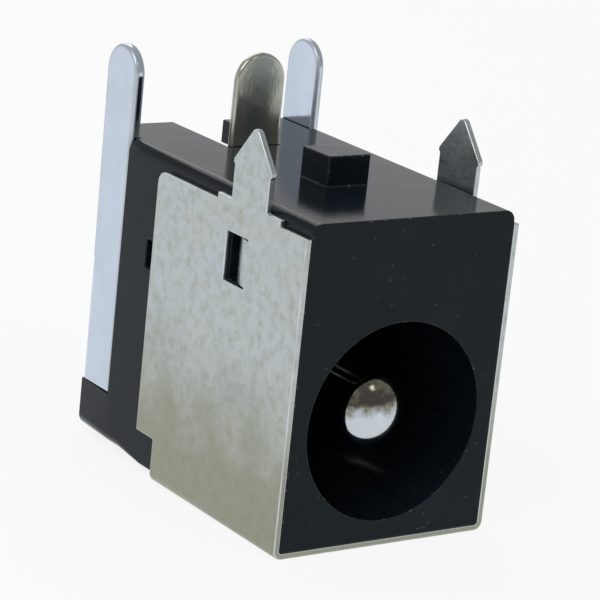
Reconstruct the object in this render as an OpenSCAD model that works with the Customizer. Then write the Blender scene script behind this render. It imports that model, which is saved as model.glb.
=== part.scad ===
// Board-mounted dc power jack with a shield shell, lying on its shell with its
// solder pins upwards. X runs across the jack, Y from the socket's front face to
// the rear face, and Z up through the board face. Distances along Y in the values
// below are taken from the front face.

/* [Housing] */
// Width of the moulded housing
housing_w = 7.7; // [7.5:0.1:9]
// Length from the front face to the rear face
housing_l = 12.8; // [12.5:0.1:15]
// Height from the bottom face to the board face
housing_h = 10.5; // [10.2:0.1:12]
// Radius of the long edges beside the board face
top_edge_r = 0.35; // [0.1:0.05:0.6]
// Radius of the bottom edges under the shell
shell_edge_r = 0.1; // [0.08:0.01:0.25]
// Radius of the bottom edges behind the shell
rear_edge_r = 0.55; // [0.2:0.05:0.9]

/* [Barrel socket] */
// Diameter of the socket
socket_d = 6.5; // [6:0.1:6.7]
// Depth of the socket
socket_depth = 10.2; // [9.6:0.1:10.4]
// Height of the socket's axis above the housing's bottom face
socket_z = 3.9; // [3.7:0.1:4.2]
// Outside diameter of the mating plug
plug_d = 5.5; // [5.3:0.1:5.7]

/* [Locating post] */
// Width of the post on the board face
post_w = 1.6; // [1:0.1:2.4]
// Length of the post
post_l = 1.5; // [1:0.1:2.4]
// Height of the post above the board face
post_h = 1; // [0.5:0.1:1.5]
// Distance of the post's centre from the front face
post_y = 4.5; // [3:0.1:6]

/* [Rear chamber] */
// Thickness of the roof between the chamber and the board face
roof_t = 0.8; // [0.6:0.1:1]
// Width of the chamber between its side walls
chamber_w = 4.8; // [4.2:0.1:5]
// Height of the seat of the switch contact above the housing's bottom face
seat_z = 6.55; // [6.4:0.05:6.8]
// Depth of the recess that takes the rear contact
rear_recess = 0.45; // [0.35:0.05:0.6]
// Height of the lip under the rear contact
lip_h = 1.7; // [1.2:0.1:2]
// Width of the proud strip beside the rear contact
rear_strip_w = 1.35; // [1.1:0.05:1.6]

/* [Shield shell] */
// Sheet thickness of the shell
shell_t = 0.2; // [0.15:0.05:0.3]
// Length of the shell
shell_l = 8.45; // [7.8:0.05:9]
// Drop of the shell's upper edges below the board face
shell_drop = 0.45; // [0.3:0.05:0.8]
// Rise of the edge beside each board lock
root_rise = 0.2; // [0.1:0.05:0.25]
// Length of the raised edge round each board lock
root_l = 3.5; // [3:0.1:4.5]
// Radius of the upper rear corners
shell_corner_r = 0.4; // [0.1:0.05:0.8]
// Length of the relief at the lower rear corner
relief_l = 1.05; // [0.6:0.05:1.5]
// Height of the relief at the lower rear corner
relief_h = 1.45; // [1:0.05:2]

/* [Board locks] */
// Width of each board lock
lock_w = 2.1; // [1.6:0.1:2.6]
// Distance of the board locks' centres from the front face
lock_y = 3.2; // [2.6:0.1:4]
// Height of the board locks' points above the board face
lock_h = 2.15; // [1.8:0.05:2.6]
// Height of a board lock's pointed end
lock_point_h = 1.15; // [0.8:0.05:1.4]
// Width that each side loses in a board lock's neck
lock_neck = 0.07; // [0.02:0.01:0.15]

/* [Latches] */
// Length of each latch tongue
latch_l = 1.75; // [1.4:0.05:2.2]
// Height of each latch tongue
latch_h = 1.5; // [1.2:0.1:1.7]
// Distance that a tongue's free end is pushed in
latch_depth = 0.24; // [0.2:0.02:0.3]
// Distance of a tongue's root from the front face
latch_y = 2.05; // [1.6:0.05:2.6]
// Height of the tongues' middle above the housing's bottom face
latch_z = 8.4; // [8.3:0.05:8.8]

/* [Centre pin] */
// Diameter of the centre pin
pin_d = 2.4; // [2:0.1:2.5]
// Distance of the pin's tip behind the front face
pin_setback = 1; // [0.2:0.05:1.5]
// Radius of the pin's crowned nose
nose_r = 2.2; // [1.8:0.1:3]
// Radius of the nose's rounded corner
nose_corner_r = 0.3; // [0.2:0.05:0.6]
// Diameter of the pin's neck in the rear wall
neck_d = 2; // [1.8:0.05:2.1]
// Wall thickness of the neck
neck_t = 0.2; // [0.15:0.01:0.25]
// Depth of the hollow in the pin's rear end
hollow_l = 2; // [1.6:0.1:2.4]
// Diameter of the rolled rim behind the rear contact
rim_d = 3.2; // [2.9:0.1:3.6]
// Height of the rolled rim
rim_h = 0.3; // [0.2:0.05:0.4]

/* [Contacts] */
// Sheet thickness of the contacts
contact_t = 0.3; // [0.2:0.05:0.35]
// Width of the two outer solder pins
leg_w = 1.85; // [1.5:0.05:2]
// Height of the outer solder pins above the board face
leg_h = 2.95; // [2.5:0.05:4]
// Distance of the outer pins' rear edges from the rear face
leg_inset = 0.2; // [0.15:0.05:0.4]
// Width of the sleeve spring's solder pin
spring_pin_w = 1.9; // [1.5:0.1:2]
// Height of the sleeve spring's solder pin above the board face
spring_pin_h = 3.1; // [2.5:0.05:4]
// Distance of the sleeve spring's solder pin from the front face
spring_pin_y = 9.2; // [8.9:0.1:9.5]

/* [Rear contact] */
// Height of the plate that the centre pin holds
plate_h = 4.3; // [3.9:0.1:4.4]
// Radius of the plate's free corners
plate_corner_r = 0.35; // [0.1:0.05:0.6]

/* [Switch contact] */
// Width of the raised middle of the switch contact
raised_w = 4; // [3.4:0.1:4.4]
// Rise of the middle above the two ends
raised_h = 0.35; // [0.3:0.05:0.4]
// Reach of the free end from the middle of the jack
free_end_x = 3.1; // [2.8:0.05:3.15]
// Outside radius of the bend below the solder pin
foot_r = 0.9; // [0.7:0.05:1]

/* [Sleeve spring] */
// Width of the spring's leaf
leaf_w = 2.7; // [2.2:0.1:3]
// Distance of the hairpin's centre from the front face
hairpin_y = 3.6; // [3.3:0.1:4.2]
// Radius of the hairpin along the middle of the sheet
hairpin_r = 0.95; // [0.85:0.05:1.05]
// Reach of the bulge into the plug's path
bulge_press = 0.15; // [0.05:0.05:0.3]
// Slope of the leaf on both sides of the bulge in degrees
bulge_slope = 25; // [20:1:32]
// Length of the turned-up end of the tail
tail_lift_l = 0.9; // [0.5:0.1:1.2]
// Angle of the turned-up end of the tail
tail_lift_a = 7; // [2:1:12]
// Distance of the tail's end from the rear face
tail_inset = 0.5; // [0.4:0.05:1]

/* [Clearances] */
// Gap between a contact and the housing beside it
seat_gap = 0.05; // [0.02:0.01:0.08]
// Gap round the pin's neck
neck_gap = 0.02; // [0.01:0.01:0.05]
// Gap between the spring's leaf and the channel's sides
leaf_gap = 0.15; // [0.1:0.05:0.3]

/* [Hidden] */
$fn = 96;

over = 0.2;                              // how far a cutter runs past a face
half_w = housing_w / 2;
shell_x = half_w + shell_t;              // outer face of the shell's sides
floor_z = shell_t;                       // bottom face of the housing
board_z = floor_z + housing_h;           // board face
axis_z = floor_z + socket_z;
roof_z = board_z - roof_t;               // underside of the roof
seat_top = floor_z + seat_z;             // seat of the switch contact

bend_in_r = 0.1;                         // inner radius of a tight sheet bend
bend_relief = 0.03;                      // notch between the rear plate and its leg
recess_face = housing_l - rear_recess;   // rear wall behind the rear contact
plate_y = recess_face + seat_gap;        // front face of the rear contact's plate
plate_back = plate_y + contact_t;
overall_l = plate_back + rim_h;
front_y = -overall_l / 2;                // front face in the part's own frame

leg_sink = 0.15;                         // outer pins lie this far below the sides
leg_x = half_w - leg_sink;               // outer faces of the outer pins
leg_bed_x = leg_x - contact_t - seat_gap;
leg_back = housing_l - leg_inset;
leg_front = leg_back - leg_w;
leg_tip_z = board_z + leg_h;

shell_edge_z = board_z - shell_drop;
lock_tip_r = 0.22;
lock_shoulder_z = board_z + lock_h - lock_point_h;
root_z = shell_edge_z + root_rise;
relief_w = 1;                            // how far the relief runs under the shell

latch_gap = 0.45;                        // slot behind a tongue's free end
latch_cut = 0.04;                        // slit above and below a tongue
latch_mid_z = floor_z + latch_z;
pocket_depth = latch_depth + 0.12;

lip_z = floor_z + lip_h;                 // top of the lip
plate_z = lip_z + seat_gap;              // lower edge of the rear contact
plate_free_x = half_w - rear_strip_w - 0.15;

shoulder_y = socket_depth;               // the pin's shoulder on the rear wall
bore_in_r = neck_d / 2 - neck_t;         // hollow of the pin

spring_pin_r = spring_pin_w / 2;
slot_w = spring_pin_w + 2 * seat_gap;
slot_front = spring_pin_y - contact_t / 2 - seat_gap;
leaf_z = roof_z - seat_gap - contact_t / 2;       // middle of the upper leaf
tail_z = seat_top + contact_t + raised_h + contact_t / 2;
channel_w = leaf_w + 2 * leaf_gap;
channel_front = hairpin_y - hairpin_r - contact_t / 2 - leaf_gap;
chamber_front = slot_front;
chamber_floor = axis_z + socket_d / 2 + 0.05;     // floor above the socket

notch_l = 0.8;                           // mould notch beside the shell's rear edge
notch_h = 0.95;
notch_depth = 0.35;
notch_z = floor_z + 6.6;

// Points of an arc of radius r round [x, y], from angle a to angle b.
function arc(x, y, r, a, b, steps = 8) =
    [for (i = [0 : steps]) [x + r * cos(a + (b - a) * i / steps),
                            y + r * sin(a + (b - a) * i / steps)]];

// Moves a piece whose Y starts at the front face into the part's frame.
module from_front() {
    translate([0, front_y, 0]) children();
}

// Stands a profile that is drawn across X and Z up along Y, from y for length l.
module along_y(y, l) {
    translate([0, y + l, 0]) rotate([90, 0, 0]) linear_extrude(l) children();
}

// Lays a profile that is drawn along Y and Z across X, from x for width w.
module across_x(x, w) {
    translate([x, 0, 0]) rotate([90, 0, 90]) linear_extrude(w) children();
}

// A box between two corners.
module block(low, high) {
    translate(low) cube(high - low);
}

// A cylinder along Y on the socket's axis.
module rod(d, y, l) {
    translate([0, y, axis_z]) rotate([-90, 0, 0]) cylinder(d = d, h = l);
}

// A sector of a ring round the origin, from angle 0 to the given angle.
module ring_sector(inner_r, thickness, angle) {
    outer_r = inner_r + thickness;
    intersection() {
        difference() {
            circle(outer_r);
            circle(inner_r);
        }
        polygon([[0, 0], [2 * outer_r, 0],
                 2.5 * outer_r * [cos(angle / 3), sin(angle / 3)],
                 2.5 * outer_r * [cos(2 * angle / 3), sin(2 * angle / 3)],
                 2 * outer_r * [cos(angle), sin(angle)]]);
    }
}

// A strip with right-angle bends, centred on its path, that starts at the origin
// along X. Each run is [straight length, turn to the left in degrees, radius].
module bent_strip(runs, thickness, i = 0) {
    ahead = runs[i][0];
    turn = runs[i][1];
    r = runs[i][2];
    translate([0, -thickness / 2]) square([ahead, thickness]);
    if (turn != 0)
        translate([ahead, r]) rotate(-90) ring_sector(r - thickness / 2, thickness, turn);
    if (i < len(runs) - 1)
        translate([ahead + r * sin(turn), r * (1 - cos(turn))]) rotate(turn)
            bent_strip(runs, thickness, i + 1);
}

// Points of one side of a free-form leaf, off to the left of its path. Each run is
// [straight length, turn to the left in degrees, radius of the turn].
function leaf_side(runs, off, i = 0, x = 0, y = 0, a = 0) =
    i == len(runs) ? [] :
    let (turn = runs[i][1], r = sign(turn) * runs[i][2], steps = ceil(abs(turn) / 7.5),
         ex = x + runs[i][0] * cos(a), ey = y + runs[i][0] * sin(a),
         cx = ex - r * sin(a), cy = ey + r * cos(a))
    concat(
        i == 0 ? [[x - off * sin(a), y + off * cos(a)]] : [],
        runs[i][0] > 0 ? [[ex - off * sin(a), ey + off * cos(a)]] : [],
        [for (k = [1 : 1 : steps]) let (h = a + turn * k / steps)
            [cx + (r - off) * sin(h), cy - (r - off) * cos(h)]],
        leaf_side(runs, off, i + 1, cx + r * sin(a + turn), cy - r * cos(a + turn), a + turn));

// Outline of a free-form leaf, centred on its path.
module leaf_outline(runs, thickness) {
    left = leaf_side(runs, thickness / 2);
    right = leaf_side(runs, -thickness / 2);
    polygon(concat(left, [for (i = [len(right) - 1 : -1 : 0]) right[i]]));
}

// An upright solder pin's outline: width w, from z to a round tip at top.
module round_tipped(w, z, top) {
    polygon(concat([[-w / 2, z], [w / 2, z]], arc(0, top - w / 2, w / 2, 0, 180, 24)));
}

// Cross-section of the housing with its long edges rounded.
module housing_section(bottom_r) {
    polygon(concat(
        arc(half_w - bottom_r, floor_z + bottom_r, bottom_r, -90, 0),
        arc(half_w - top_edge_r, board_z - top_edge_r, top_edge_r, 0, 90),
        arc(top_edge_r - half_w, board_z - top_edge_r, top_edge_r, 90, 180),
        arc(bottom_r - half_w, floor_z + bottom_r, bottom_r, 180, 270)));
}

// The space that the sleeve spring's leaf works in, above the socket.
module leaf_channel() {
    block([-channel_w / 2, channel_front, axis_z + socket_d / 4],
          [channel_w / 2, housing_l / 2 + socket_depth / 2, roof_z]);
}

// The chamber at the rear, and the slot in its roof for the middle pin.
module rear_chamber() {
    block([-chamber_w / 2, chamber_front, chamber_floor],
          [chamber_w / 2, housing_l + over, roof_z]);
    block([-chamber_w / 2, socket_depth - seat_gap, seat_top],
          [chamber_w / 2, housing_l + over, roof_z]);
    block([-slot_w / 2, slot_front, roof_z - over],
          [slot_w / 2, housing_l + over, board_z + over]);
}

// Slots in the chamber's side walls for the switch contact.
module switch_slots() {
    front = leg_front - seat_gap;
    block([-free_end_x - seat_gap, front, seat_top],
          [0, housing_l + over, seat_top + contact_t + 2 * seat_gap]);
    block([0, front, seat_top],
          [half_w + over, housing_l + over, seat_top + contact_t + 0.4]);
}

// Beds in the housing's sides for the outer solder pins.
module leg_beds() {
    front = leg_front - seat_gap;
    block([-half_w - over, front, lip_z],
          [-leg_bed_x, housing_l + over, board_z + over]);
    block([leg_bed_x, front, seat_top],
          [half_w + over, housing_l + over, board_z + over]);
}

// Recess in the rear face for the rear contact's plate, open at the top and side.
module plate_recess() {
    block([-half_w - over, recess_face, lip_z],
          [half_w - rear_strip_w, housing_l + over, seat_top + over]);
}

// Pockets behind the shell's latches, and the mould notches beside the shell.
module side_pockets() {
    for (side = [-1, 1]) scale([side, 1, 1]) {
        block([half_w - pocket_depth, latch_y - seat_gap, latch_mid_z - latch_h / 2 - latch_cut],
              [half_w + over, latch_y + latch_l + latch_gap,
               latch_mid_z + latch_h / 2 + latch_cut]);
        block([half_w - notch_depth, shell_l - 0.15, notch_z],
              [half_w + over, shell_l - 0.15 + notch_l, notch_z + notch_h]);
    }
}

module housing() color([0.11, 0.12, 0.12]) from_front() {
    difference() {
        union() {
            along_y(0, shell_l) housing_section(shell_edge_r);
            along_y(shell_l, housing_l - shell_l) housing_section(rear_edge_r);
            block([-post_w / 2, post_y - post_l / 2, board_z - over],
                  [post_w / 2, post_y + post_l / 2, board_z + post_h]);
        }
        rod(socket_d, -over, socket_depth + over);
        rod(neck_d + 2 * neck_gap, socket_depth - over, housing_l - socket_depth);
        leaf_channel();
        rear_chamber();
        switch_slots();
        leg_beds();
        plate_recess();
        side_pockets();
    }
}

// Outline of a shell side along Y and Z, with its board lock.
module shell_side() {
    root_front = lock_y - root_l / 2;
    neck = lock_w / 2 - lock_neck;
    low = floor_z + 1;
    difference() {
        union() {
            translate([0, low]) square([shell_l, shell_edge_z - low]);
            translate([root_front, low]) square([root_l, root_z - low]);
            translate([lock_y - neck, low]) square([2 * neck, lock_shoulder_z - low]);
            hull() {
                translate([lock_y - lock_w / 2, lock_shoulder_z - 0.15]) square([lock_w, 0.15]);
                translate([lock_y, board_z + lock_h - lock_tip_r]) circle(lock_tip_r, $fn = 32);
            }
        }
        translate([shell_l - shell_corner_r, shell_edge_z - shell_corner_r]) difference() {
            square(shell_corner_r + over);
            circle(shell_corner_r);
        }
        translate([latch_y, latch_mid_z - latch_h / 2 - latch_cut])
            square([latch_l + latch_gap, latch_h + 2 * latch_cut]);
    }
}

// A latch tongue, seen along Z: its root is in the shell's side at latch_y.
module latch_tongue() {
    translate([0, 0, latch_mid_z - latch_h / 2]) linear_extrude(latch_h)
        polygon([[half_w, latch_y - seat_gap], [shell_x, latch_y - seat_gap],
                 [shell_x, latch_y], [shell_x - latch_depth, latch_y + latch_l],
                 [half_w - latch_depth, latch_y + latch_l], [half_w, latch_y]]);
}

module shield_shell() color([0.76, 0.77, 0.77]) from_front() {
    bend_r = shell_edge_r + shell_t / 2;
    low = floor_z + 1;
    union() {
        difference() {
            along_y(0, shell_l) translate([-half_w - shell_t / 2, low]) rotate(-90)
                bent_strip([[low - shell_t / 2 - bend_r, 90, bend_r],
                            [housing_w + shell_t - 2 * bend_r, 90, bend_r],
                            [low - shell_t / 2 - bend_r, 0, 0]], shell_t);
            block([-shell_x - over, shell_l - relief_l, -over],
                  [relief_w - half_w, shell_l + over, low + over]);
        }
        difference() {
            across_x(-shell_x, shell_t) shell_side();
            block([-shell_x - over, shell_l - relief_l, 0],
                  [over - half_w, shell_l + over, relief_h]);
        }
        across_x(half_w, shell_t) shell_side();
        for (side = [-1, 1]) scale([side, 1, 1]) latch_tongue();
    }
}

module centre_pin() color([0.74, 0.72, 0.66]) from_front() {
    r = pin_d / 2;
    neck_r = neck_d / 2;
    tube_end = overall_l - rim_h / 2;
    crown_y = pin_setback + nose_r;      // centre of the nose's crown
    corner_x = r - nose_corner_r;
    corner_y = crown_y - sqrt(pow(nose_r - nose_corner_r, 2) - pow(corner_x, 2));
    join_a = atan2(corner_y - crown_y, corner_x);
    translate([0, 0, axis_z]) rotate([-90, 0, 0]) rotate_extrude() difference() {
        union() {
            polygon(concat(
                arc(0, crown_y, nose_r, -90, join_a, 12),
                arc(corner_x, corner_y, nose_corner_r, join_a * 7 / 8, 0, 7),
                [[r, shoulder_y], [0, shoulder_y]]));
            translate([0, shoulder_y]) square([neck_r, tube_end - shoulder_y]);
            translate([bore_in_r + 0.05, plate_back]) square([rim_d / 2 - bore_in_r - 0.2, rim_h / 2]);
            translate([bore_in_r + rim_h / 2, tube_end]) circle(rim_h / 2);
            translate([rim_d / 2 - rim_h / 2, tube_end]) circle(rim_h / 2);
            translate([bore_in_r + rim_h / 2, plate_back])
                square([rim_d / 2 - bore_in_r - rim_h, rim_h]);
        }
        translate([0, overall_l - hollow_l]) square([bore_in_r, hollow_l + over]);
        polygon([[0, overall_l - hollow_l - bore_in_r / 2], [bore_in_r, overall_l - hollow_l],
                 [0, overall_l - hollow_l + over]]);
    }
}

module rear_contact() color([0.82, 0.83, 0.85]) from_front() {
    r = bend_in_r + contact_t / 2;
    plate_top = plate_z + plate_h;
    plate_run = plate_free_x + leg_x - contact_t / 2 - r;
    bend_y = plate_back - contact_t / 2 - r;      // where the leg's flat side ends
    difference() {
        union() {
            intersection() {
                translate([plate_free_x, plate_y + contact_t / 2, plate_z]) rotate(180)
                    linear_extrude(plate_h)
                        bent_strip([[plate_run, 90, r], [bend_y - leg_front, 0, 0]], contact_t);
                along_y(0, housing_l) plate_outline(plate_top);
            }
            across_x(-leg_x, contact_t) translate([leg_front, plate_top - over])
                square([bend_y - leg_front, over + bend_relief]);
            across_x(-leg_x, contact_t) translate([leg_front + leg_w / 2, 0])
                round_tipped(leg_w, plate_top + bend_relief, leg_tip_z);
        }
        rod(neck_d + 2 * neck_gap, recess_face - over, housing_l);
    }
}

// Outline of the rear contact across X and Z, with its free corners rounded.
module plate_outline(top) {
    r = plate_corner_r;
    polygon(concat(
        [[-half_w - over, plate_z]],
        arc(plate_free_x - r, plate_z + r, r, -90, 0),
        arc(plate_free_x - r, top - r, r, 0, 90),
        [[-half_w - over, top]]));
}

module switch_contact() color([0.8, 0.81, 0.83]) from_front() {
    step_x = raised_h * 0.6;             // width of each slanted step
    half = raised_w / 2;
    r = foot_r - contact_t / 2;
    foot_x = leg_x - foot_r;             // where the foot's bend starts
    low = seat_top;
    high = seat_top + raised_h;
    union() {
        along_y(leg_front, leg_w) polygon([
            [-free_end_x, low], [-half, low], [step_x - half, high],
            [half - step_x, high], [half, low], [foot_x, low],
            [foot_x, low + contact_t], [half, low + contact_t],
            [half - step_x, high + contact_t], [step_x - half, high + contact_t],
            [-half, low + contact_t], [-free_end_x, low + contact_t]]);
        along_y(leg_front, leg_w) translate([foot_x, low + foot_r]) rotate(-90)
            ring_sector(foot_r - contact_t, contact_t, 90);
        across_x(leg_x - contact_t, contact_t) translate([leg_front + leg_w / 2, 0])
            round_tipped(leg_w, low + foot_r, leg_tip_z);
    }
}

module sleeve_spring() color([0.78, 0.77, 0.7]) from_front() {
    t = contact_t;
    neck_r = bend_in_r + t / 2;          // bend below the solder pin
    swing_r = 0.8;                       // bends before and after the bulge
    bulge_r = 1.2;
    low_z = axis_z + plug_d / 2 - bulge_press + t / 2;
    return_z = leaf_z - 2 * hairpin_r;
    round_drop = (swing_r + bulge_r) * (1 - cos(bulge_slope));
    down = (return_z - low_z - round_drop) / sin(bulge_slope);
    up = (tail_z - low_z - round_drop) / sin(bulge_slope);
    tail_y = hairpin_y + 2 * (swing_r + bulge_r) * sin(bulge_slope)
        + (down + up) * cos(bulge_slope);
    lift_y = housing_l - tail_inset - tail_lift_l;
    lift_r = 3;
    pin_bottom = leaf_z + neck_r;
    leaf_start = spring_pin_y - neck_r;
    union() {
        along_y(spring_pin_y - t / 2, t)
            round_tipped(spring_pin_w, pin_bottom, board_z + spring_pin_h);
        across_x(-spring_pin_r, spring_pin_w) translate([leaf_start, pin_bottom]) rotate(-90)
            ring_sector(neck_r - t / 2, t, 90);
        across_x(-leaf_w / 2, leaf_w) translate([leaf_start, leaf_z]) rotate(180)
            leaf_outline([[leaf_start - hairpin_y, 180, hairpin_r],
                        [0, -bulge_slope, swing_r],
                        [down, 2 * bulge_slope, bulge_r],
                        [up, -bulge_slope, swing_r],
                        [lift_y - tail_y, tail_lift_a, lift_r],
                        [tail_lift_l - lift_r * sin(tail_lift_a), 0, 0]], t);
    }
}

housing();
shield_shell();
centre_pin();
rear_contact();
switch_contact();
sleeve_spring();
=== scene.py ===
import math

import bmesh
import bpy
from mathutils import Matrix, Vector


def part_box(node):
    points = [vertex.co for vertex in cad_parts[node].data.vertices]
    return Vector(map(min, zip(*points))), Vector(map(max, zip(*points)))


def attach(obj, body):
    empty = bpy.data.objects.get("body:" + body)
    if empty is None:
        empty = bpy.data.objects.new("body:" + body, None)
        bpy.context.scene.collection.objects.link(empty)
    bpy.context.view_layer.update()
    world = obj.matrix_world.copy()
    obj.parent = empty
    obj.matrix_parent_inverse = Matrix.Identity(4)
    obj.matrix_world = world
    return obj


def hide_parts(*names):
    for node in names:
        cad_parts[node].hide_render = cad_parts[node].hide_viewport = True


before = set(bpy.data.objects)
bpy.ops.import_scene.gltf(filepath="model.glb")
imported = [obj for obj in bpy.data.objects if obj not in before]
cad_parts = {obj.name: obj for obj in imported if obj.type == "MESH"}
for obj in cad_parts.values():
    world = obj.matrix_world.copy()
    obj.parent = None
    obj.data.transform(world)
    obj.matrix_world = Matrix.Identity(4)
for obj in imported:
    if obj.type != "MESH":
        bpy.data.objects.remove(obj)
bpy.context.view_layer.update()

MM = 0.001
SHARP_ANGLE = 35
SMOOTH_ANGLE = math.radians(40)


# ---- shaping ---------------------------------------------------------------------


def pick_only(piece):
    bpy.ops.object.select_all(action="DESELECT")
    piece.select_set(True)
    bpy.context.view_layer.objects.active = piece


def is_sharp(edge):
    return len(edge.link_faces) == 2 and math.degrees(edge.calc_face_angle(0.0)) > SHARP_ANGLE


def inside(point, low, high):
    """Whether a point in metres lies in a box given in millimetres."""
    return all(low[i] <= point[i] / MM <= high[i] for i in range(3))


def box_in_mm(node):
    return [Vector(corner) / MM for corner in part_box(node)]


def soften_edges(piece, width, crisp):
    """Rounds the sharp edges outside the crisp zones, and gives the rounded band
    the piece's second finish."""
    shape = bmesh.new()
    shape.from_mesh(piece.data)
    weight = shape.edges.layers.float.new("bevel_weight_edge")
    for edge in shape.edges:
        ends = [corner.co for corner in edge.verts]
        kept = any(all(inside(end, low, high) for end in ends) for low, high in crisp)
        edge[weight] = 1.0 if is_sharp(edge) and not kept else 0.0
    shape.to_mesh(piece.data)
    shape.free()
    pick_only(piece)
    rounding = piece.modifiers.new("rounding", "BEVEL")
    rounding.width = width * MM
    rounding.segments = 4
    rounding.limit_method = "WEIGHT"
    rounding.use_clamp_overlap = False
    rounding.miter_outer = "MITER_ARC"
    rounding.material = 1
    bpy.ops.object.modifier_apply(modifier=rounding.name)
    bpy.ops.object.shade_smooth_by_angle(angle=SMOOTH_ANGLE)
    flats = piece.modifiers.new("flats", "WEIGHTED_NORMAL")
    flats.keep_sharp = True
    flats.weight = 100
    bpy.ops.object.modifier_apply(modifier=flats.name)


def ride_for(piece, node):
    """Lets a piece stand for a CAD node."""
    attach(piece, "root")
    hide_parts(node)


def finished_copy(node, name, face_finish, edge_finish, width, crisp=(), reshape=None):
    """A copy of a CAD node with clean faces, reshaped where needed, with its edges rounded by a
    width in millimetres and its finish."""
    piece = bpy.data.objects.new(name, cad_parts[node].data.copy())
    bpy.context.scene.collection.objects.link(piece)
    piece.data.materials.clear()
    piece.data.materials.append(face_finish)
    piece.data.materials.append(edge_finish)
    for face in piece.data.polygons:
        face.material_index = 0
    pick_only(piece)
    bpy.ops.object.mode_set(mode="EDIT")
    bpy.ops.mesh.select_all(action="SELECT")
    bpy.ops.mesh.remove_doubles(threshold=0.001 * MM)
    bpy.ops.mesh.dissolve_limited(angle_limit=math.radians(0.6))
    bpy.ops.object.mode_set(mode="OBJECT")
    if reshape is not None:
        shape = bmesh.new()
        shape.from_mesh(piece.data)
        reshape(shape)
        shape.to_mesh(piece.data)
        shape.free()
    soften_edges(piece, width, crisp)
    ride_for(piece, node)


def cut_across(shape, y, faces=None):
    """Cuts the given faces, or every face, at a distance along Y in millimetres."""
    if faces is None:
        parts = shape.verts[:] + shape.edges[:] + shape.faces[:]
    else:
        parts = list(dict.fromkeys(part for face in faces
                                   for part in (*face.verts, *face.edges, face)))
    bmesh.ops.bisect_plane(shape, geom=parts, dist=0.00001 * MM,
                           plane_co=(0, y * MM, 0), plane_no=(0, 1, 0))


def arc(x, y, r, start, end, steps):
    """Points of an arc round (x, y), from angle start to angle end in degrees."""
    angles = [math.radians(start + (end - start) * i / steps) for i in range(steps + 1)]
    return [(x + r * math.cos(a), y + r * math.sin(a)) for a in angles]


def turned_piece(name, outline, axis_z, steps):
    """Draws an outline of (radius, y) points in millimetres, and turns it round the
    line along Y at the given height."""
    bpy.ops.object.select_all(action="DESELECT")
    bpy.ops.mesh.primitive_plane_add(size=MM)
    piece = bpy.context.object
    piece.name = name
    bpy.ops.object.mode_set(mode="EDIT")
    bpy.ops.mesh.merge(type="CENTER")
    first, *others = outline
    bpy.ops.transform.translate(value=(first[0] * MM, first[1] * MM, axis_z))
    for before, after in zip(outline, others):
        step = ((after[0] - before[0]) * MM, (after[1] - before[1]) * MM, 0)
        bpy.ops.mesh.extrude_region_move(TRANSFORM_OT_translate={"value": step})
    bpy.ops.mesh.select_all(action="SELECT")
    bpy.ops.mesh.spin(steps=steps, angle=2 * math.pi, center=(0, 0, axis_z), axis=(0, 1, 0))
    bpy.ops.mesh.select_all(action="SELECT")
    bpy.ops.mesh.remove_doubles(threshold=0.0005 * MM)
    bpy.ops.mesh.normals_make_consistent(inside=False)
    bpy.ops.object.mode_set(mode="OBJECT")
    bpy.ops.object.shade_smooth_by_angle(angle=SMOOTH_ANGLE)
    return piece


# ---- finishes --------------------------------------------------------------------


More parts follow.
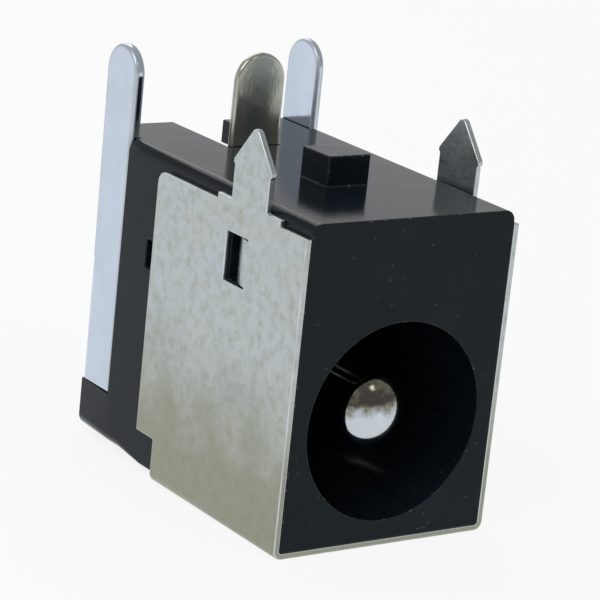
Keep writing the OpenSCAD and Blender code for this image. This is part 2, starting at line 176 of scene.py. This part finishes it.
class Finish:
    """A material whose patterns are laid out in millimetres on the piece."""

    def __init__(self, name):
        self.material = bpy.data.materials.new(name)
        self.material.use_nodes = True
        self.tree = self.material.node_tree
        self.shader = self.tree.nodes["Principled BSDF"]
        place = self.tree.nodes.new("ShaderNodeTexCoord")
        scale = self.tree.nodes.new("ShaderNodeMapping")
        scale.inputs["Scale"].default_value = (1000, 1000, 1000)
        self.tree.links.new(place.outputs["Object"], scale.inputs["Vector"])
        self.millimetres = scale.outputs["Vector"]

    def link(self, source, target):
        self.tree.links.new(source, target)

    def noise(self, per_mm, detail, roughness, stretch=(1, 1, 1), shift=0.0):
        """A cloudy pattern from 0 to 1. A shift moves it, so that it differs from others."""
        stretched = self.tree.nodes.new("ShaderNodeMapping")
        stretched.inputs["Scale"].default_value = stretch
        stretched.inputs["Location"].default_value = (shift, shift * 0.7, shift * 1.3)
        cloud = self.tree.nodes.new("ShaderNodeTexNoise")
        cloud.inputs["Scale"].default_value = per_mm
        cloud.inputs["Detail"].default_value = detail
        cloud.inputs["Roughness"].default_value = roughness
        self.link(self.millimetres, stretched.inputs["Vector"])
        self.link(stretched.outputs["Vector"], cloud.inputs["Vector"])
        return cloud.outputs["Fac"]

    def fade(self, axis, ripple, start, end, amount, waver):
        """Rises from 0 to an amount between two places along an axis, in millimetres,
        and the line between them wavers with a pattern."""
        parts = self.tree.nodes.new("ShaderNodeSeparateXYZ")
        shift = self.tree.nodes.new("ShaderNodeMath")
        shift.operation = "MULTIPLY_ADD"
        shift.inputs[1].default_value = waver * 4
        self.link(self.millimetres, parts.inputs["Vector"])
        self.link(ripple, shift.inputs[0])
        self.link(parts.outputs[axis], shift.inputs[2])
        return self.span(shift.outputs[0], 0.0, amount, start + waver * 2, end + waver * 2)

    def ramp(self, source, *stops):
        """Colours a pattern, by stops given as (value, colour)."""
        bar = self.tree.nodes.new("ShaderNodeValToRGB")
        marks = bar.color_ramp.elements
        while len(marks) < len(stops):
            marks.new(0.5)
        for mark, (place, colour) in zip(marks, stops):
            mark.position = place
            mark.color = (*colour, 1)
        self.link(source, bar.inputs["Fac"])
        return bar.outputs["Color"]

    def span(self, source, low, high, start=0.3, end=0.7):
        """Turns a pattern's values from start to end into values from low to high."""
        to_range = self.tree.nodes.new("ShaderNodeMapRange")
        to_range.inputs["From Min"].default_value = start
        to_range.inputs["From Max"].default_value = end
        to_range.inputs["To Min"].default_value = low
        to_range.inputs["To Max"].default_value = high
        self.link(source, to_range.inputs["Value"])
        return to_range.outputs["Result"]

    def blend(self, below, above, amount):
        """Lays a colour or a pattern over a pattern, by an amount from 0 to 1."""
        mixer = self.tree.nodes.new("ShaderNodeMix")
        mixer.data_type = "RGBA"
        mixer.clamp_factor = True
        self.link(amount, mixer.inputs["Factor"])
        self.link(below, mixer.inputs[6])
        if isinstance(above, tuple):
            mixer.inputs[7].default_value = (*above, 1)
        else:
            self.link(above, mixer.inputs[7])
        return mixer.outputs[2]

    def times(self, first, second):
        """Two patterns multiplied, so that only what both hold is left."""
        product = self.tree.nodes.new("ShaderNodeMath")
        product.operation = "MULTIPLY"
        self.link(first, product.inputs[0])
        self.link(second, product.inputs[1])
        return product.outputs[0]

    def coat(self, colour, roughness, metallic):
        """Gives the surface its colour and roughness patterns, as metal or not."""
        self.link(colour, self.shader.inputs["Base Color"])
        self.link(roughness, self.shader.inputs["Roughness"])
        self.shader.inputs["Metallic"].default_value = metallic

    def height(self, *layers):
        """Bumps, each given as (pattern, height in millimetres)."""
        below = None
        for pattern, rise in layers:
            bump = self.tree.nodes.new("ShaderNodeBump")
            bump.inputs["Distance"].default_value = rise * MM
            bump.inputs["Strength"].default_value = 1.0
            self.link(pattern, bump.inputs["Height"])
            if below is not None:
                self.link(below, bump.inputs["Normal"])
            below = bump.outputs["Normal"]
        self.link(below, self.shader.inputs["Normal"])


def moulded_plastic(name, dark, light, worn):
    """Glossy black moulding with a fine skin, faint haze and stray dust. The worn setting adds
    dust specks, and on the rounded edges these are partly a painted highlight."""
    finish = Finish(name)
    haze = finish.noise(0.45, 5, 0.6)
    grain = finish.noise(14, 3, 0.6, shift=3)
    dust = finish.noise(7, 2, 0.5, shift=9)
    dust_colour = (0.22, 0.22, 0.2)
    body = finish.ramp(haze, (0.3, dark), (0.7, light))
    specks = finish.span(dust, 0.0, 0.5, 0.73 - worn, 0.8 - worn)
    finish.coat(finish.blend(body, dust_colour, specks), finish.span(haze, 0.09, 0.16), 0.0)
    finish.shader.inputs["Specular IOR Level"].default_value = 0.14
    finish.shader.inputs["Specular Tint"].default_value = (0.86, 0.97, 1.0, 1)
    finish.height((grain, 0.0012), (haze, 0.012))
    return finish.material


def tin_plate(name, cool, warm, dull, low_rough, high_rough):
    """Matte tin plate: cloudy, darker and warmer towards its fold at the bottom with painted
    shade, and with fine dark pits.
    """
    finish = Finish(name)
    cloud = finish.noise(0.55, 6, 0.62)
    mottle = finish.noise(2.6, 5, 0.65, shift=4)
    grain = finish.noise(13, 3, 0.6, shift=7)
    pits = finish.noise(8, 2, 0.55, shift=11)
    low_painted_shade_colour, pit_colour = (0.27, 0.28, 0.2), (0.19, 0.18, 0.16)
    plate = finish.ramp(cloud, (0.34, cool), (0.66, warm))
    plate = finish.blend(plate, dull, finish.span(mottle, 0.0, 0.5, 0.46, 0.68))
    # Painted shade: the plate is darkened and warmed from 6 mm down to 2 mm, as the dim floor
    # would show in it.
    plate = finish.blend(plate, low_painted_shade_colour, finish.fade("Z", cloud, 6.0, 2.0, 0.85, 1.6))
    plate = finish.blend(plate, pit_colour, finish.span(pits, 0.0, 0.6, 0.68, 0.76))
    finish.coat(plate, finish.span(mottle, low_rough, high_rough), 1.0)
    finish.height((cloud, 0.02), (mottle, 0.006), (grain, 0.0015))
    return finish.material


def bright_plate(name, pale, tint, low_rough, high_rough, ripple=0.004):
    """Smooth plated strip: nearly mirror bright, with faint clouds and draw lines."""
    finish = Finish(name)
    cloud = finish.noise(0.8, 4, 0.55)
    lines = finish.noise(9, 3, 0.6, stretch=(1, 1, 0.06), shift=5)
    plate = finish.ramp(cloud, (0.32, pale), (0.68, tint))
    finish.coat(plate, finish.span(cloud, low_rough, high_rough), 1.0)
    finish.height((cloud, ripple * 2), (lines, ripple * 0.15))
    return finish.material


def riveted_nickel(name):
    """Bright nickel, rubbed through to warm brass round the rolled rim, with a painted dark
    reflection in brown and olive blotches on the upper half of the nose."""
    finish = Finish(name)
    cloud = finish.noise(1.6, 4, 0.6)
    grain = finish.noise(10, 3, 0.6, shift=5)
    plate = finish.ramp(cloud, (0.3, (0.57, 0.63, 0.69)), (0.7, (0.55, 0.58, 0.6)))
    nose = finish.fade("Y", cloud, -4.4, -4.9, 1.0, 0.1)
    upper = finish.fade("Z", cloud, 4.0, 4.4, 0.9, 0.3)
    blotches = finish.noise(2.4, 3, 0.6, shift=2)
    olive, brown, brass = (0.2, 0.19, 0.12), (0.07, 0.05, 0.03), (0.44, 0.42, 0.24)
    # Painted reflection: brown and olive blotches darken the nose's upper half where it would
    # mirror the greyer room above.
    painted_dark_reflection = finish.ramp(blotches, (0.4, olive), (0.56, brown))
    plate = finish.blend(plate, painted_dark_reflection, finish.times(nose, upper))
    plate = finish.blend(plate, brass, finish.fade("Y", cloud, 6.1, 6.2, 0.55, 0.2))
    finish.coat(plate, finish.span(cloud, 0.07, 0.15), 1.0)
    finish.height((cloud, 0.0015), (grain, 0.0004))
    return finish.material


black_moulding = moulded_plastic("black_moulding", (0.004, 0.007, 0.01),
                                 (0.006, 0.0105, 0.015), 0.0)
# The rounded edges are lighter and dustier: partly wear and dust, partly a painted highlight along
# the edges.
worn_and_highlight_moulding_edge = moulded_plastic("worn_and_highlight_moulding_edge", (0.008, 0.01, 0.012),
                                     (0.02, 0.022, 0.024), 0.09)
shell_plate = tin_plate("shell_tin_plate", (0.47, 0.53, 0.56), (0.48, 0.51, 0.5),
                        (0.32, 0.33, 0.25), 0.24, 0.38)
shell_cut_edge = bright_plate("shell_cut_edge", (0.62, 0.67, 0.7), (0.5, 0.53, 0.52),
                              0.2, 0.34)
contact_plate = bright_plate("contact_plate", (0.57, 0.64, 0.76), (0.53, 0.6, 0.71),
                             0.09, 0.17)
contact_edge = bright_plate("contact_edge", (0.54, 0.6, 0.66), (0.46, 0.5, 0.54),
                            0.34, 0.48)
spring_plate = bright_plate("spring_plate", (0.44, 0.47, 0.43), (0.37, 0.38, 0.33),
                            0.1, 0.18, ripple=0.006)
spring_edge = bright_plate("spring_edge", (0.46, 0.48, 0.43), (0.36, 0.36, 0.3), 0.14, 0.26)
pin_plate = riveted_nickel("pin_plate")


# ---- pieces ----------------------------------------------------------------------


def turned_pin():
    """The hollow pin: crowned nose, straight shaft, neck, rolled rim and blind hollow."""
    low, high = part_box("centre_pin")
    nose_ahead, shaft_l, rim_h, hollow_l = 0.45, 9.65, 0.3, 2.0
    shaft_r, crown_r, corner_r, neck_r, rim_r, hollow_r = 1.2, 1.6, 0.3, 1.0, 1.6, 0.8
    chamfer, flange_edge_r, roll_x, roll_r = 0.05, 0.07, 1.12, 0.24
    funnel_l, floor_r = 0.2, 0.2
    tip = low[1] / MM - nose_ahead
    back = high[1] / MM
    axis_z = (low[2] + high[2]) / 2
    crown_y = tip + crown_r
    corner_x = shaft_r - corner_r
    drop = math.sqrt((crown_r - corner_r) ** 2 - corner_x ** 2)
    join = math.degrees(math.atan2(-drop, corner_x))
    shaft_end = tip + shaft_l
    flange_y = back - rim_h
    floor_y = back - hollow_l
    outline = arc(0, crown_y, crown_r, -90, join, 24)
    outline += arc(corner_x, crown_y - drop, corner_r, join, 0, 12)[1:]
    outline += [(shaft_r, shaft_end - chamfer), (shaft_r - chamfer, shaft_end),
                (neck_r, shaft_end), (neck_r, flange_y), (rim_r - flange_edge_r, flange_y)]
    outline += arc(rim_r - flange_edge_r, flange_y + flange_edge_r, flange_edge_r, -90, 80, 10)[1:]
    outline += arc(roll_x, back - roll_r, roll_r, 15, 180, 22)
    outline += [(hollow_r, back - roll_r - funnel_l), (hollow_r, floor_y + floor_r)]
    outline += arc(hollow_r - floor_r, floor_y + floor_r, floor_r, 0, -60, 6)[1:]
    outline += [(0, floor_y - hollow_r / 2)]
    piece = turned_piece("riveted_pin", outline, axis_z, 128)
    piece.data.materials.append(pin_plate)
    ride_for(piece, "centre_pin")


def fade_bottom_edges(shape):
    """Lets the moulding's rounded bottom edges fade in behind the shell."""
    low, high = box_in_mm("housing")
    shell_end = box_in_mm("shield_shell")[1].y
    full_round_y = shell_end + 1.45
    modelled_r, seam_r, rear_r, near = 0.55, 0.1, 0.4, 0.01
    cut_across(shape, full_round_y)
    for corner in shape.verts:
        x, y, z = corner.co / MM
        from_x = abs(x) - (high.x - modelled_r)
        from_z = z - (low.z + modelled_r)
        on_arc = abs(math.hypot(from_x, from_z) - modelled_r) < near
        if not on_arc or from_x < -0.001 or from_z > 0.001 or y < shell_end - near:
            continue
        r = seam_r if y < shell_end + near else rear_r
        turn = r / modelled_r
        side_x = math.copysign(high.x - r + from_x * turn, x)
        corner.co = Vector((side_x, y, low.z + r + from_z * turn)) * MM
    bmesh.ops.remove_doubles(shape, verts=shape.verts[:], dist=0.002 * MM)


def draw_in_rear(shape):
    """Draws the moulding's rear face, and its lip's side below the outer solder pin, in
    to the riveted plate and the pin."""
    rear_y = box_in_mm("housing")[1].y
    lip_front, lip_x, lip_top, side_in, rear_in = 4.2, -3, 1.91, 0.1, 0.18
    cut_across(shape, lip_front)
    for corner in shape.verts:
        x, y, z = corner.co / MM
        if x < lip_x and y > lip_front and z < lip_top:
            corner.co.x += side_in * (y - lip_front) / (rear_y - lip_front) * MM
        if y > rear_y - 0.01:
            corner.co.y -= rear_in * MM


def ease_moulding(shape):
    fade_bottom_edges(shape)
    draw_in_rear(shape)


def curl_latches(shape):
    """Bends each latch tongue in only over its free end, and curls it."""
    low, high = box_in_mm("shield_shell")
    root_y, tongue_l, sheet, depth, bent_l = low.y + 2.05, 1.75, 0.2, 0.24, 0.75
    bottom, top, slit, near = 7.85, 9.35, 0.06, 0.01
    bend_y = root_y + tongue_l - bent_l
    for corner in shape.verts:
        x, y, z = corner.co / MM
        at_root = abs(y - root_y) < 0.1 and abs(x) > high.x - 0.3
        if at_root and bottom - slit < z < top + slit:
            corner.co.y += (bend_y - root_y) * MM
    tongue = ((-9, bend_y - slit, bottom - near), (9, bend_y + bent_l + near, top + near))
    for share in (0.3, 0.6):
        y = bend_y + share * bent_l
        faces = [face for face in shape.faces
                 if abs(face.calc_center_median().x) / MM > high.x - sheet - depth - near
                 and all(inside(corner.co, *tongue) for corner in face.verts)]
        cut_across(shape, y, faces)
        for corner in shape.verts:
            on_cut = abs(corner.co.y / MM - y) < 0.002 and inside(corner.co, *tongue)
            if on_cut and abs(corner.co.x) / MM < high.x - 0.001:
                lift = depth * (share - share ** 1.5)
                corner.co.x += math.copysign(lift * MM, corner.co.x)


def widen_leg(shape):
    """Stretches the outer solder pin and its bend out to the housing's side, and draws
    the pin's foot in to meet the bend."""
    inner_x, sheet, growth, foot_in = 3.4, 0.3, 0.08, 0.1
    foot = ((-3.9, 6.05, 6.26), (-3.3, 6.15, 6.3))
    for corner in shape.verts:
        depth = -corner.co.x / MM - inner_x
        if inside(corner.co, *foot):
            corner.co.y -= foot_in * MM
        if depth > 0:
            corner.co.x -= growth * depth / sheet * MM


# The rear contact's lower edge, and the seam between its leg and its bend, stay square.
square_edges = [((-3.9, 3.8, 1.9), (-3.0, 6.3, 2.0)), ((-3.9, 5.7, 6.2), (-3.3, 6.3, 6.3))]

finished_copy("housing", "moulded_housing", black_moulding, worn_and_highlight_moulding_edge,
              0.045, reshape=ease_moulding)
finished_copy("shield_shell", "folded_shell", shell_plate, shell_cut_edge,
              0.035, reshape=curl_latches)
turned_pin()
finished_copy("rear_contact", "rear_plate_and_leg", contact_plate, contact_edge,
              0.12, crisp=square_edges, reshape=widen_leg)
finished_copy("switch_contact", "switch_strip_and_leg", contact_plate, contact_edge,
              0.12)
finished_copy("sleeve_spring", "hairpin_spring", spring_plate, spring_edge,
              0.12)


# ---- floor and light -------------------------------------------------------------


def seen_rays(tree):
    """1 for rays that show a thing directly, in a reflection or through glass."""
    path = tree.nodes.new("ShaderNodeLightPath")
    share = path.outputs["Is Camera Ray"]
    for kind in ("Is Glossy Ray", "Is Transmission Ray"):
        either = tree.nodes.new("ShaderNodeMath")
        either.operation = "MAXIMUM"
        tree.links.new(share, either.inputs[0])
        tree.links.new(path.outputs[kind], either.inputs[1])
        share = either.outputs[0]
    return share


def pale_floor():
    bpy.ops.object.select_all(action="DESELECT")
    bpy.ops.mesh.primitive_plane_add(size=4)
    floor = bpy.context.object
    floor.name = "floor"
    finish = bpy.data.materials.new("pale_floor")
    finish.use_nodes = True
    tree = finish.node_tree
    matte = tree.nodes["Principled BSDF"]
    matte.inputs["Base Color"].default_value = (0.86, 0.86, 0.85, 1)
    matte.inputs["Roughness"].default_value = 0.9
    matte.inputs["Specular IOR Level"].default_value = 0.1
    glow = tree.nodes.new("ShaderNodeEmission")
    glow.inputs["Color"].default_value = (1, 1, 1, 1)
    share = tree.nodes.new("ShaderNodeMath")
    share.operation = "MULTIPLY"
    share.inputs[1].default_value = 0.86
    mix = tree.nodes.new("ShaderNodeMixShader")
    tree.links.new(seen_rays(tree), share.inputs[0])
    tree.links.new(share.outputs[0], mix.inputs["Fac"])
    tree.links.new(matte.outputs[0], mix.inputs[1])
    tree.links.new(glow.outputs[0], mix.inputs[2])
    tree.links.new(mix.outputs[0], tree.nodes["Material Output"].inputs["Surface"])
    floor.data.materials.append(finish)


def pale_room():
    """Even light all round. Seen directly or in the metal, the room has pale walls
    and a greyer ceiling, and its front end is the greyest."""
    world = bpy.data.worlds.new("pale_room")
    bpy.context.scene.world = world
    world.use_nodes = True
    tree = world.node_tree
    lit = tree.nodes["Background"]
    lit.inputs["Color"].default_value = (0.93, 0.97, 1.0, 1)
    lit.inputs["Strength"].default_value = 0.6
    seen = tree.nodes.new("ShaderNodeBackground")
    seen.inputs["Strength"].default_value = 1.0
    place = tree.nodes.new("ShaderNodeTexCoord")
    parts = tree.nodes.new("ShaderNodeSeparateXYZ")
    walls = []
    for stops in (((0.05, 1.0), (0.5, 0.5)), ((0.02, 1.0), (0.12, 0.42))):
        wall = tree.nodes.new("ShaderNodeValToRGB")
        for mark, (height, tone) in zip(wall.color_ramp.elements, stops):
            mark.position = height
            mark.color = (tone, tone, tone, 1)
        tree.links.new(parts.outputs["Z"], wall.inputs["Fac"])
        walls.append(wall.outputs["Color"])
    front = tree.nodes.new("ShaderNodeMapRange")
    front.inputs["From Min"].default_value = 0.1
    front.inputs["From Max"].default_value = -0.4
    room = tree.nodes.new("ShaderNodeMix")
    room.data_type = "RGBA"
    mix = tree.nodes.new("ShaderNodeMixShader")
    tree.links.new(place.outputs["Generated"], parts.inputs["Vector"])
    tree.links.new(parts.outputs["Y"], front.inputs["Value"])
    tree.links.new(front.outputs["Result"], room.inputs["Factor"])
    tree.links.new(walls[0], room.inputs[6])
    tree.links.new(walls[1], room.inputs[7])
    tree.links.new(room.outputs[2], seen.inputs["Color"])
    tree.links.new(seen_rays(tree), mix.inputs["Fac"])
    tree.links.new(lit.outputs[0], mix.inputs[1])
    tree.links.new(seen.outputs[0], mix.inputs[2])
    tree.links.new(mix.outputs[0], tree.nodes["World Output"].inputs["Surface"])


def soft_lamp(name, place, size, power, colour=(1, 1, 1)):
    """A square soft lamp, aimed at the middle of the jack. Lengths in millimetres."""
    lamp = bpy.data.lights.new(name, "AREA")
    lamp.size = size * MM
    lamp.energy = power
    lamp.color = colour
    holder = bpy.data.objects.new(name, lamp)
    bpy.context.scene.collection.objects.link(holder)
    holder.location = Vector(place) * MM
    aim = Vector((0, 0, 6 * MM)) - holder.location
    holder.rotation_euler = aim.to_track_quat("-Z", "Y").to_euler()


def studio_camera(place, target, roll, lens):
    view = bpy.data.cameras.new("camera")
    view.lens = lens
    view.sensor_width = 36
    view.clip_start = 0.005
    view.clip_end = 10
    holder = bpy.data.objects.new("camera", view)
    bpy.context.scene.collection.objects.link(holder)
    holder.location = Vector(place) * MM
    aim = (Vector(target) * MM - holder.location).to_track_quat("-Z", "Y").to_matrix()
    turn = aim.to_4x4() @ Matrix.Rotation(roll, 4, "Z")
    holder.rotation_euler = turn.to_euler()
    bpy.context.scene.camera = holder


pale_floor()
pale_room()
soft_lamp("key_lamp", (-90, -30, 120), 90, 0.06, (0.95, 0.98, 1.0))
soft_lamp("back_lamp", (30, 110, 90), 80, 0.03, (1.0, 0.99, 0.95))
soft_lamp("front_lamp", (60, -215, 205), 50, 0.03)
studio_camera((-51.6, -72.5, 31.7), (0.4, -0.3, 6.2), math.radians(6), 170)
bpy.context.scene.view_settings.view_transform = "Standard"
